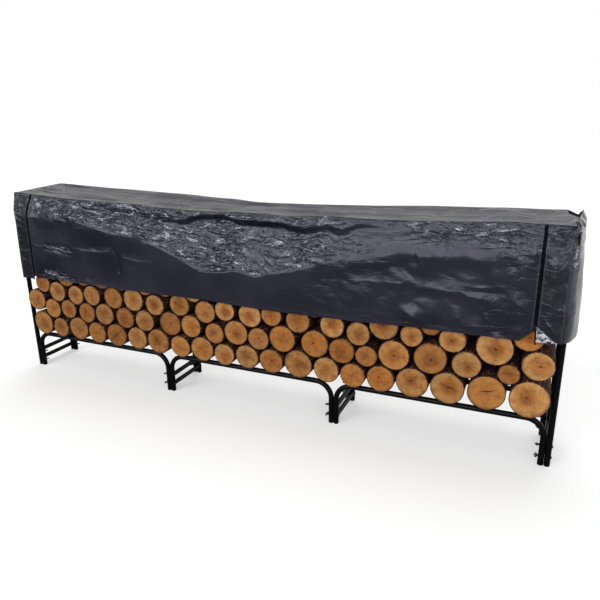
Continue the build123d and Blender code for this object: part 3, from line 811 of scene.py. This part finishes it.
def top_surface(x, y):
    """Height of the top panel at x and y."""
    across = (y - TOP_EDGE_Y) / (COVER_BACK - TOP_EDGE_Y)
    z = front_edge_z(x) * (1 - across) + back_edge_z(x) * across
    inside = step(across, 0, 0.10) * step(1 - across, 0, 0.10) * step(COVER_HALF - np.abs(x), 0.0, 0.06)
    over_stack = step(STACK_HALF - np.abs(x), 0.0, 0.15)
    over_frame = step(np.abs(x), STACK_HALF - 0.03, STACK_HALF)
    over_frame *= step(across, 0.05, 0.3) * step(1 - across, 0.02, 0.2)
    z += over_frame * np.clip(COVER_TOP - z, 0, None)
    z -= 0.012 * inside * over_stack * np.sin(np.pi * across)
    z += 0.0075 * inside * smooth_noise(x * 0.9, y * 9.0, 11.0)
    z += 0.0080 * inside * (sharp_folds(x * 0.9 + y * 2.5, y * 7.0, 12.0) - 0.5)
    z += 0.0080 * inside * smooth_noise(x * 3.2, y * 2.0, 13.0)
    z += 0.0100 * inside * (facets(x * 3.0 + y * 2.0, y * 9.0, 14.0) - 0.3)
    z += 0.0030 * bump_at(y - TOP_EDGE_Y, 0.006, 0.006)
    return z


def make_top():
    """The top panel, stretched over the end frames and slack between them."""
    columns, rows = 560, 72
    y = np.linspace(TOP_EDGE_Y, COVER_BACK, rows)[:, None].repeat(columns, 1)
    share = np.linspace(0, 1, columns)[None, :]
    x = -COVER_HALF * (1 - share) + through(y, RIGHT_EDGE) * share
    points = np.stack([x, y, top_surface(x, y)], -1)
    flat = np.stack([x, y + FLAT_STARTS["top"]], -1)
    edge = 0.004 + np.minimum(y - TOP_EDGE_Y, COVER_BACK - y)
    amount = 0.20 + 0.30 * step(smooth_noise(x * 1.3, y * 3.0, 21.0), 0.0, 0.6)
    amount += 0.25 * step(np.abs(x), 1.55, 1.8)
    top = cloth_object("cover_top", points, flat, amount, edge)
    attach(top, "cover")
    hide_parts("cover_top_panel")


def back_y(x, z):
    """Depth of the cover's back at x and z."""
    inside = step(back_edge_z(x) - z, 0.0, 0.06) * step(COVER_HALF - np.abs(x), 0.0, 0.05)
    ripple = 0.008 * smooth_noise(x * 1.6, z * 1.2, 31.0) + 0.010 * (facets(x * 2.6, z * 3.0, 32.0) - 0.35)
    return COVER_BACK + inside * (ripple - 0.002)


def make_back():
    """The back panel, hung plainly."""
    columns, rows = 380, 66
    x = np.linspace(-COVER_HALF, COVER_HALF, columns)[None, :].repeat(rows, 0)
    share = np.linspace(0, 1, rows)[:, None]
    z = back_edge_z(x) * (1 - share) + HEM_Z * share
    points = np.stack([x, back_y(x, z), z], -1)
    down = arc_lengths(points)
    flat = np.stack([x, down + FLAT_STARTS["back"]], -1)
    amount = 0.18 + 0.4 * step(smooth_noise(x * 1.4, z * 2.0, 33.0), 0.0, 0.6)
    back = cloth_object("cover_back", points, flat, amount, down[-1] - down, flip=True)
    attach(back, "cover")
    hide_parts("cover_back_panel")


# ---- cover: end panels ----

# How far each end wall stands out from the frame, at each height.
END_BULGE = {
    -1: [(0.70, 0.004), (0.80, 0.012), (1.0, 0.014), (1.19, 0.008), (1.30, 0.004), (1.4, 0.004)],
    1: [
        (0.70, 0.053), (0.76, 0.051), (0.83, 0.047), (0.95, 0.046), (1.08, 0.037), (1.19, 0.029),
        (1.27, 0.025), (1.4, 0.022),
    ],
}
# The way round each front corner, seen from above: distance out from the cover's end, depth behind the front,
# and share of the bulge. Then the wall, to the back: y, and share of the bulge.
CORNER_PATH = {
    -1: [(-0.052, 0.000, 0.0), (-0.030, 0.008, 0.0), (-0.008, 0.030, 0.0), (0.0, 0.062, 0.33)],
    1: [
        (-0.036, 0.000, 0.0), (-0.024, 0.008, 0.0), (-0.010, 0.022, 0.0), (0.0, 0.046, 0.15),
        (0.0, 0.080, 0.42), (0.0, 0.150, 0.80),
    ],
}
WALL_PATH = [(0.02, 1.0), (0.14, 0.75), (0.261, 0.0)]
# Each corner's size at the very top, as a share of its full size, and how far down it has grown to that.
CORNER_AT_TOP = {-1: (0.3, 0.20), 1: (0.5, 0.08)}
# The ear at the right end's top edge: how far it leans in, and its height, at each y.
EAR_LEAN = [
    (-0.174, 0.012), (-0.10, 0.048), (0.0, 0.034), (0.09, 0.016), (0.13, 0.030), (0.20, 0.044),
    (0.262, 0.030),
]
EAR_HEIGHT = [
    (-0.174, 1.292), (-0.10, 1.300), (0.0, 1.318), (0.09, 1.338), (0.12, 1.318), (0.15, 1.294),
    (0.262, 1.284),
]


def spline(points, places):
    """A smooth curve through points, each an array with a column for each place (0 to 1) along the curve."""
    points = [2 * points[0] - points[1], *points, 2 * points[-1] - points[-2]]
    curve = np.empty_like(points[0])
    for column, place in enumerate(places * (len(points) - 3 - 1e-6)):
        i, t = int(place), place % 1
        a, b, c, d = (point[:, column] for point in points[i : i + 4])
        curve[:, column] = 0.5 * (
            2 * b + (c - a) * t + (2 * a - 5 * b + 4 * c - d) * t**2 + (3 * b - a - 3 * c + d) * t**3
        )
    return curve


def end_plan(side, z, strip, wall):
    """x (outward) and y round an end panel, from the heights of its columns: the strip's, then the wall's."""
    bulge = through(z, END_BULGE[side])
    least, reach = CORNER_AT_TOP[side]
    tight = least + (1 - least) * step(COVER_TOP - z, 0.0, reach)
    corner_x = COVER_HALF + CORNER_PATH[side][0][0] * tight
    x_strip = ZIP_X + 0.0002 + (corner_x[:, :strip] - ZIP_X) * np.linspace(0, 1, strip, endpoint=False)
    y_strip = front_y(side * x_strip, np.minimum(z[:, :strip], front_edge_z(side * x_strip)))

    at_wall = slice(strip, strip + wall)
    corner_x, tight, bulge = corner_x[:, at_wall], tight[:, at_wall], bulge[:, at_wall]
    front = front_y(side * corner_x, np.minimum(z[:, at_wall], front_edge_z(side * corner_x)))
    xs = [COVER_HALF + out * tight + swell * bulge for out, _, swell in CORNER_PATH[side]]
    ys = [front + back * tight for _, back, _ in CORNER_PATH[side]]
    xs += [COVER_HALF + swell * bulge for _, swell in WALL_PATH]
    ys += [np.full_like(bulge, y) for y, _ in WALL_PATH]
    places = np.linspace(0, 1, wall)
    x_wall, y_wall = spline(xs, places), spline(ys, places)
    return np.concatenate([x_strip, x_wall], 1), np.concatenate([y_strip, y_wall], 1)


def make_end(side):
    """An end panel: the front strip beside the zip, then round the corner and along the wall."""
    strip, wall, rows = 30, 84, 112
    columns = strip + wall
    share = np.linspace(0, 1, rows)

    x_top, y_top = (line[0] for line in end_plan(side, np.full((1, columns), COVER_TOP - 0.004), strip, wall))
    if side > 0:
        top = np.where(x_top < 1.80, front_edge_z(x_top), through(y_top, EAR_HEIGHT))
        low = HEM_Z + 0.014 + 0.008 * step(y_top, -0.16, -0.05) * step(0.20 - y_top, 0, 0.1)
    else:
        across = np.clip((y_top - TOP_EDGE_Y) / (COVER_BACK - TOP_EDGE_Y), 0, 1)
        top = front_edge_z(-x_top) * (1 - across) + back_edge_z(-x_top) * across
        low = np.full_like(y_top, HEM_Z + 0.006)
    z = top[None, :] * (1 - share[:, None]) + low[None, :] * share[:, None]
    x, y = end_plan(side, z, strip, wall)

    along = np.clip((np.arange(columns) - strip) / (wall - 1), 0, 1)[None, :]
    below_top = step(top[None, :] - z, 0.0, 0.05)
    free = step(along, 0.06, 0.3) * step(1 - along, 0.0, 0.15)
    folds = 0.012 * (facets(y * 5.0, z * 3.2, 40.0 + side) - 0.35)
    folds += 0.006 * smooth_noise(y * 5.0, z * 2.0, 44.0 + side)
    folds += 0.005 * bump_at(z, 1.2, 0.10) * (facets(y * 14.0, z * 16.0, 47.0) - 0.35)
    x += free * folds * below_top
    if side > 0:
        x -= step(along, 0.0, 0.12) * through(y, EAR_LEAN) * step(top[None, :] - z, 0.034, 0.0) ** 0.8
    points = np.stack([side * x, y, z], -1)
    down = arc_lengths(points)
    around = arc_lengths(points.transpose(1, 0, 2)).T
    from_seam = around - around[:, strip : strip + 1]
    points[..., 1] -= 0.0018 * bump_at(from_seam, 0.0, 0.004) * step(COVER_TOP - z, 0.02, 0.08)

    if side > 0:
        crumpled = 0.20 + 0.7 * bump_at(z, 1.215, 0.07) * step(along, 0.0, 0.05)
        crumpled += 0.3 * bump_at(z, 1.25, 0.05) - 0.10 * bump_at(z, 0.75, 0.06)
        crumpled = np.clip(crumpled, 0, MOST_CRUMPLED)
        # The loose corner and a patch beside the corner seam go to full crumple, where pale crinkles are
        # painted on as highlight.
        out_of_corner = (x - ZIP_X) / LOOSE_CORNER[0] + (z - HEM_Z) / LOOSE_CORNER[1]
        crumpled = np.maximum(crumpled, step(1.04 - out_of_corner, 0, 0.06))
        crumpled = np.maximum(crumpled, bump_at(z, 1.17, 0.09) * bump_at(from_seam, 0.034, 0.040))
    else:
        crumpled = 0.20 + 0.28 * bump_at(z, 1.24, 0.07)
    edge = np.minimum(down[-1] - down, sewn(from_seam))
    edge = np.minimum(edge, sewn(around - STITCHES_FROM_ZIP))
    flat = np.stack([around + FLAT_STARTS[side], down], -1)
    word = "right" if side > 0 else "left"
    panel = cloth_object(
        f"cover_end_{word}", turn_strip_corner(points, side), flat, crumpled, edge, flip=side < 0
    )
    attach(panel, "cover")
    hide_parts(f"cover_end_panel_{word}")


# ---- zips ----


def zip_half(name, side, direction, turn, node):
    """One half of a zip: a woven tape, and a row of teeth along its inner edge. turn bends its loose end."""
    rows = 200
    middle = side * ZIP_X
    z_top = float(front_edge_z(np.array(middle))) - 0.002
    z = np.linspace(z_top, HEM_Z + 0.001, rows)
    y = front_y(np.full(rows, middle), z)
    inner, outer = middle + direction * 0.0004, middle + direction * ZIP_TAPE_WIDTH
    section = [(inner, -0.0003), (inner, -0.0012), (outer, -0.0009), (outer, -0.0003)]
    tape = turn(np.array([[(x, y[i] + dy, z[i]) for x, dy in section] for i in range(rows)])).reshape(-1, 3)
    faces = grid_faces(rows, len(section), closed=True)
    if direction > 0:
        faces = faces[:, ::-1]

    # Each tooth is a small block with its front face drawn in.
    x0, x1 = middle - direction * 0.0001, middle + direction * 0.0026
    blocks, sides = [], []
    for k in range(int((z_top - HEM_Z) / TOOTH_PITCH)):
        tooth_z = z_top - (k + 0.5) * TOOTH_PITCH
        tooth_y = float(np.interp(-tooth_z, -z, y))
        corners = [(x0, -0.0010), (x1, -0.0010), (x1, 0.0010), (x0, 0.0010)]
        blocks += [(x, tooth_y - 0.0008, tooth_z + rise) for x, rise in corners]
        blocks += [(0.8 * x + 0.1 * (x0 + x1), tooth_y - 0.0021, tooth_z + 0.7 * rise) for x, rise in corners]
        a, b, c, d = (len(tape) + 8 * k + corner for corner in range(4))
        sides += [(i, j, j + 4, i + 4) for i, j in ((a, b), (b, c), (c, d), (d, a))]
        sides.append((a + 4, b + 4, c + 4, d + 4))
    vertices = np.vstack([tape, turn(np.array(blocks)[None])[0]])
    kinds = [0] * len(faces) + [1] * len(sides)
    made = new_mesh_object(name, vertices, np.vstack([faces, sides]), [tape_cloth, teeth], kinds)
    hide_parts(node)
    return made


def make_zips():
    """Both zips, half on the flap and half on the end panels."""
    for side, word in ((-1, "left"), (1, "right")):
        flap_half = zip_half(f"zip_flap_half_{word}", side, -side, turn_flap_corners, f"zip_tape_flap_{word}")
        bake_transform(flap_half)
        turn = partial(turn_strip_corner, side=side)
        end_half = zip_half(f"zip_end_half_{word}", side, side, turn, f"zip_tape_end_{word}")
        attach(end_half, "cover")


# ---- logs ----


def logs_in(node):
    """(x, z, radius, front y, back y) of each log in a CAD node: each set of points that edges join."""
    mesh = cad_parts[node].data
    places = np.array([vertex.co for vertex in mesh.vertices])
    _, point = np.unique(np.round(places, 5), axis=0, return_inverse=True)
    point = point.ravel()
    starts, ends = point[np.array([edge.vertices for edge in mesh.edges])].T
    label = np.arange(point.max() + 1)
    while (label[starts] != label[ends]).any():
        np.minimum.at(label, starts, label[ends])
        np.minimum.at(label, ends, label[starts])
    found = []
    for log in np.unique(label):
        inside = places[label[point] == log]
        low, high = inside.min(0), inside.max(0)
        middle, half = (low + high) / 2, (high - low) / 2
        found.append((middle[0], middle[2], half[2], low[1], high[1]))
    return sorted(found)


def log_shape(x, z, radius, front, back, number):
    """One log, with bark round it and sawn ends: vertices, faces, face materials, places across and seeds."""
    around = 44
    angle = np.linspace(0, 2 * math.pi, around, endpoint=False)
    chance = random.Random(number)
    lean, oval = chance.uniform(0, math.pi), chance.uniform(0.005, 0.03)
    seed = chance.uniform(0, 50)
    cos, sin = np.cos(angle), np.sin(angle)
    uneven = smooth_noise(cos * 1.3, sin * 1.3, seed)
    flattened = oval * (0.5 + 0.5 * np.cos(2 * (angle - lean)))
    outline = radius * (0.994 - flattened - 0.022 * (0.5 + 0.5 * uneven))
    bark_depth = 0.0048 + 0.0018 * smooth_noise(cos * 2.5, sin * 2.5, seed + 3)
    tilt_x, tilt_z = chance.uniform(-0.02, 0.02), chance.uniform(-0.02, 0.02)

    rings, places, kinds = [], [], []

    def add_ring(radii, y, kind, tilted):
        px, pz = radii * cos, radii * sin
        rings.append(np.stack([x + px, y + tilted * (tilt_x * px + tilt_z * pz), z + pz], -1))
        places.append(np.stack([px / radius, pz / radius, np.zeros(around)], -1))
        kinds.append(kind)

    wood_edge = outline - bark_depth
    for share in (0.03, 0.3, 0.62, 0.86):
        rough = 0.0006 * smooth_noise(cos * share * 4, sin * share * 4, seed + 5)
        add_ring(wood_edge * share, front + rough, 0, 1)
    add_ring(wood_edge, front + 0.0004, 0, 1)
    add_ring(wood_edge + bark_depth * 0.4, front + 0.0016, 1, 1)
    add_ring(outline * 0.997, front + 0.0022, 1, 1)
    sections = 9
    for i in range(sections):
        share = i / (sections - 1)
        y = (front + 0.006) * (1 - share) + (back - 0.006) * share
        grooves = smooth_noise(cos * 3.5, sin * 3.5, seed + 7 + share * 1.5)
        add_ring(outline - 0.0028 * (0.5 + 0.5 * grooves), y, 1, 0)
    add_ring(outline * 0.997, back - 0.0022, 1, 0)
    add_ring(wood_edge, back - 0.0004, 0, 0)
    for share in (0.7, 0.35, 0.03):
        add_ring(wood_edge * share, back, 0, 0)

    vertices = np.concatenate(rings)
    faces = grid_faces(len(rings), around, closed=True)[:, ::-1]
    face_kinds = np.repeat([1 if (a or b) else 0 for a, b in zip(kinds, kinds[1:])], around)
    return vertices, faces, face_kinds, np.concatenate(places), np.full(len(vertices), seed)


def make_logs(node, first_number):
    """One object for a row of logs. Returns the number of the next log."""
    logs = logs_in(node)
    shapes = [log_shape(*log, number) for number, log in enumerate(logs, start=first_number)]
    vertices, faces, kinds, across, seeds = zip(*shapes)
    starts = np.cumsum([0] + [len(part) for part in vertices])
    row = new_mesh_object(
        node.replace("log_", "logs_"),
        np.vstack(vertices),
        np.vstack([part + start for part, start in zip(faces, starts)]),
        [wood, rough_bark],
        np.concatenate(kinds),
        values={"log": np.concatenate(seeds)},
        vectors={"across": np.vstack(across)},
    )
    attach(row, "rack")
    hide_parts(node)
    return first_number + len(logs)


# ---- studio ----


def set_camera():
    """Eye level, from the front and right of the rack."""
    place = (1.6584, -3.1231, 1.7855)
    heading, pitch, roll = math.radians(23.462), math.radians(17.594), math.radians(-0.716)
    data = bpy.data.cameras.new("camera")
    data.sensor_width = 36
    data.lens = 33.994
    camera = bpy.data.objects.new("camera", data)
    bpy.context.scene.collection.objects.link(camera)
    turn = Matrix.Rotation(heading, 4, "Z") @ Matrix.Rotation(math.pi / 2 - pitch, 4, "X")
    camera.matrix_world = Matrix.Translation(place) @ turn @ Matrix.Rotation(roll, 4, "Z")
    bpy.context.scene.camera = camera


def add_lamp(name, heading, height, power, spread):
    """A soft lamp a long way off, by its heading from the front and its height, in degrees."""
    data = bpy.data.lights.new(name, "SUN")
    data.energy = power
    data.angle = math.radians(spread)
    lamp = bpy.data.objects.new(name, data)
    lamp.rotation_euler = (math.radians(90 - height), 0, math.radians(heading))
    bpy.context.scene.collection.objects.link(lamp)


def set_studio():
    """White paper floor, white surroundings and soft lamps."""
    size = 40.0
    corners = [(-size, -size, 0), (size, -size, 0), (size, size, 0), (-size, size, 0)]
    floor = new_mesh_object("floor", corners, [(0, 1, 2, 3)], [white_paper()])

    world = bpy.data.worlds.new("studio")
    bpy.context.scene.world = world
    world.use_nodes = True
    sky = Nodes(world.node_tree)
    path = sky.add("LightPath")
    seen = sky.larger(path["Is Camera Ray"], path["Is Transmission Ray"])
    seen = sky.larger(seen, sky.times(path["Is Glossy Ray"], 0.5))
    background = world.node_tree.nodes["Background"].inputs
    sky.feed(background["Strength"], sky.larger(seen, 0.5))
    sky.feed(background["Color"], (1, 1, 1))

    add_lamp("front lamp", -20, 26, 1.32, 52)
    add_lamp("back lamp", 192, 20, 0.33, 76)
    add_lamp("right back lamp", 150, 10, 0.45, 46)
    add_lamp("side lamp", 80, 12, 0.25, 26)
    add_lamp("right lamp", 40, 22, 0.40, 18)
    add_lamp("overhead lamp", 190, 68, 1.15, 34)
    for i, (heading, height) in enumerate([(-26, 44), (-6, 14), (-46, 28), (14, 34), (-34, 8)]):
        add_lamp(f"small lamp {i + 1}", heading, height, 0.16, 7)


# ---- build ----

CAD_FINISHES = [
    (coat, ("front_rail", "rear_rail", "end_frame", "crossbar")),
    (hardware, ("carriage_bolts", "wing_nuts", "zip_slider", "zip_pull")),
    (plastic, ("foot_caps",)),
]
for cad_finish, starts in CAD_FINISHES:
    for name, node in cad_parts.items():
        if name.startswith(starts):
            for held in node.material_slots:
                held.material = cad_finish

make_top()
make_back()
make_flap()
for end_side in (-1, 1):
    make_end(end_side)
make_zips()
number = 1
for row_name in ["log_row_1", "log_row_2", "log_row_3", "log_row_4", "log_rows_above"]:
    number = make_logs(row_name, number)

set_camera()
set_studio()

bpy.context.scene.view_settings.view_transform = "Standard"
